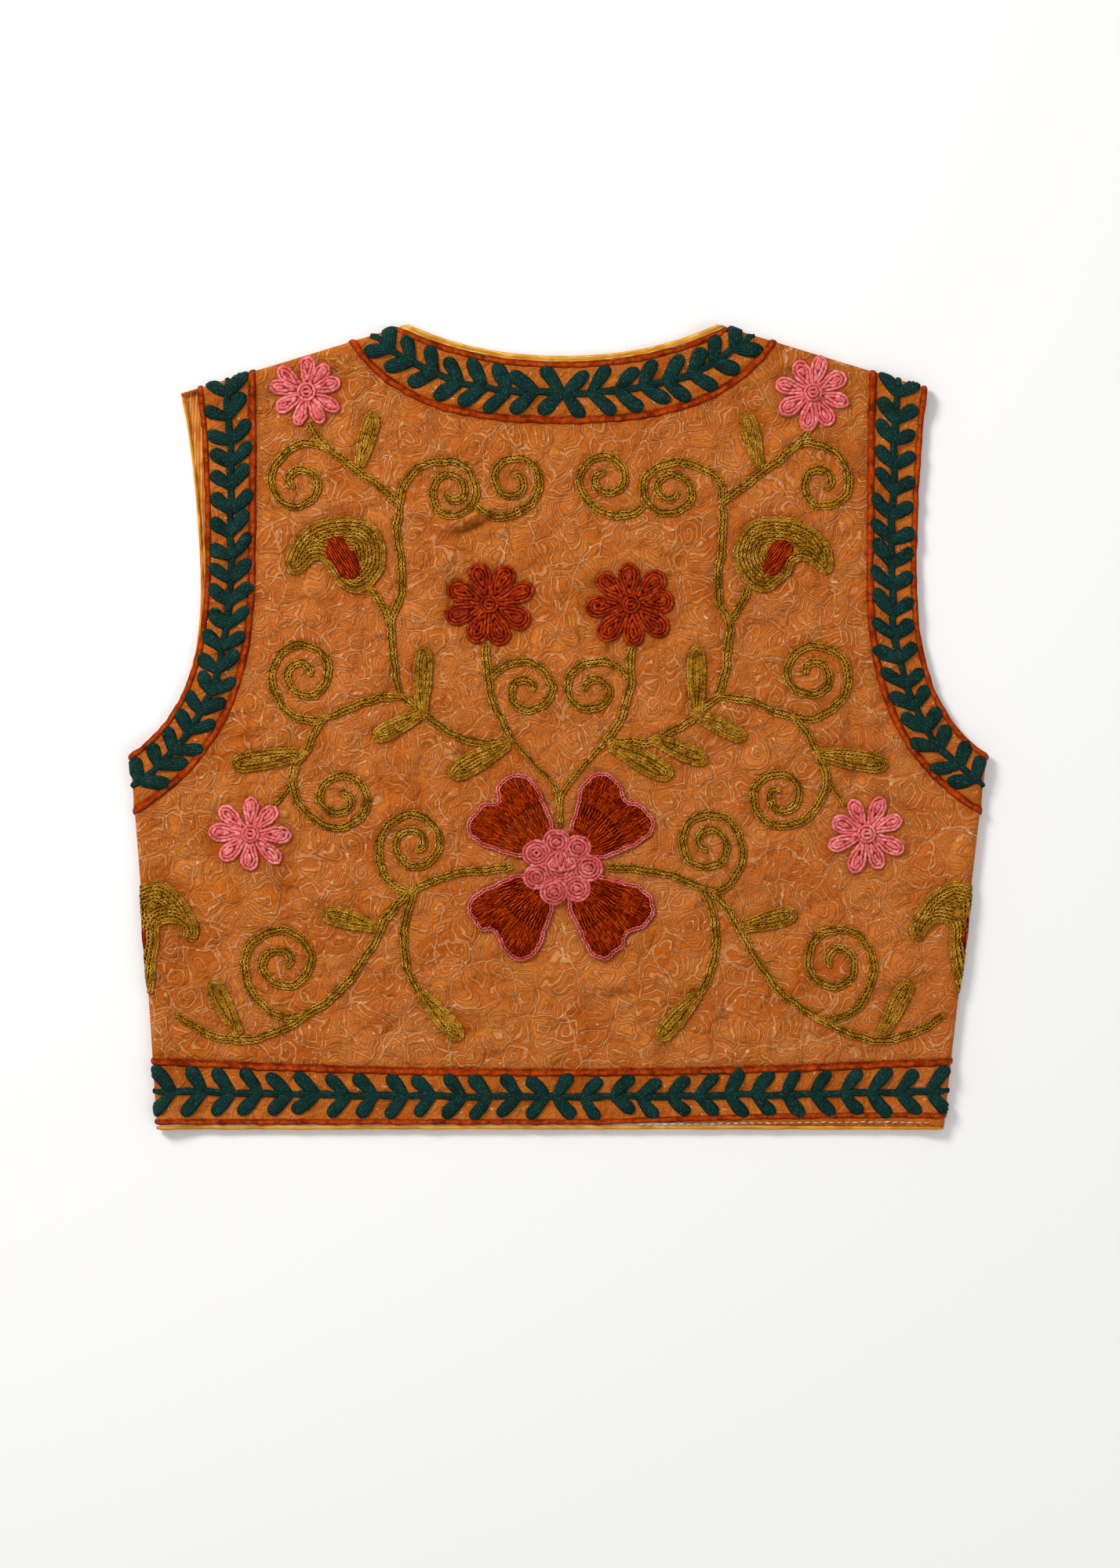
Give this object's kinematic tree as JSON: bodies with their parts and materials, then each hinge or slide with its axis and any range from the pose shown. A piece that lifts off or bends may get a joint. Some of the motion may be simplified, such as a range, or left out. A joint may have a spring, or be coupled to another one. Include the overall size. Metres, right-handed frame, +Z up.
{
  "type": "embroidered waistcoat laid flat with its back up",
  "caption": "Cropped collarless sleeveless waistcoat laid flat, back up: figured orange cloth with chain-stitched vines, flowers and paisleys, teal leaf bands and rust piping.",
  "frame": {"origin": "bottom centre of the bounding box, on the surface that the garment lies on, midway between the underarms and midway from hem to neck points", "axes": "+X to the right as the back is seen, +Y from the hem towards the neck, +Z up, away from the surface it lies on"},
  "size_m": [0.48, 0.451, 0.008],
  "materials": {
    "figured_cloth": "figured orange quilted cloth with pale raised lines and chain-stitch embroidery",
    "leaf_band": "orange band with padded teal leaves",
    "rust_cord": "rust silk-covered piping cord",
    "yellow_lining": "yellow satin lining edge",
    "teal_thread": "dense teal thread, padded leaves on a stem",
    "olive_thread": "olive-gold chain stitch",
    "pink_thread": "rose pink chain stitch",
    "red_thread": "rust red and dark red thread"
  },
  "bodies": {
    "root": {"back_panel": "figured_cloth", "back_neck_band": "leaf_band", "back_hem_band": "leaf_band", "back_armhole_band_left": "leaf_band", "front_panel_left": "figured_cloth", "front_edge_band_left": "leaf_band", "front_armhole_band_left": "leaf_band", "front_hem_band_left": "leaf_band", "armhole_seam_cord_left": "rust_cord", "armhole_edge_cord_left": "rust_cord", "back_armhole_band_right": "leaf_band", "front_panel_right": "figured_cloth", "front_edge_band_right": "leaf_band", "front_armhole_band_right": "leaf_band", "front_hem_band_right": "leaf_band", "armhole_seam_cord_right": "rust_cord", "armhole_edge_cord_right": "rust_cord", "neck_seam_cord": "rust_cord", "neck_edge_cord": "rust_cord", "hem_seam_cord": "rust_cord", "hem_edge_cord": "rust_cord", "neck_lining_edge": "yellow_lining", "hem_lining_edge": "yellow_lining"}
  },
  "joints": []
}
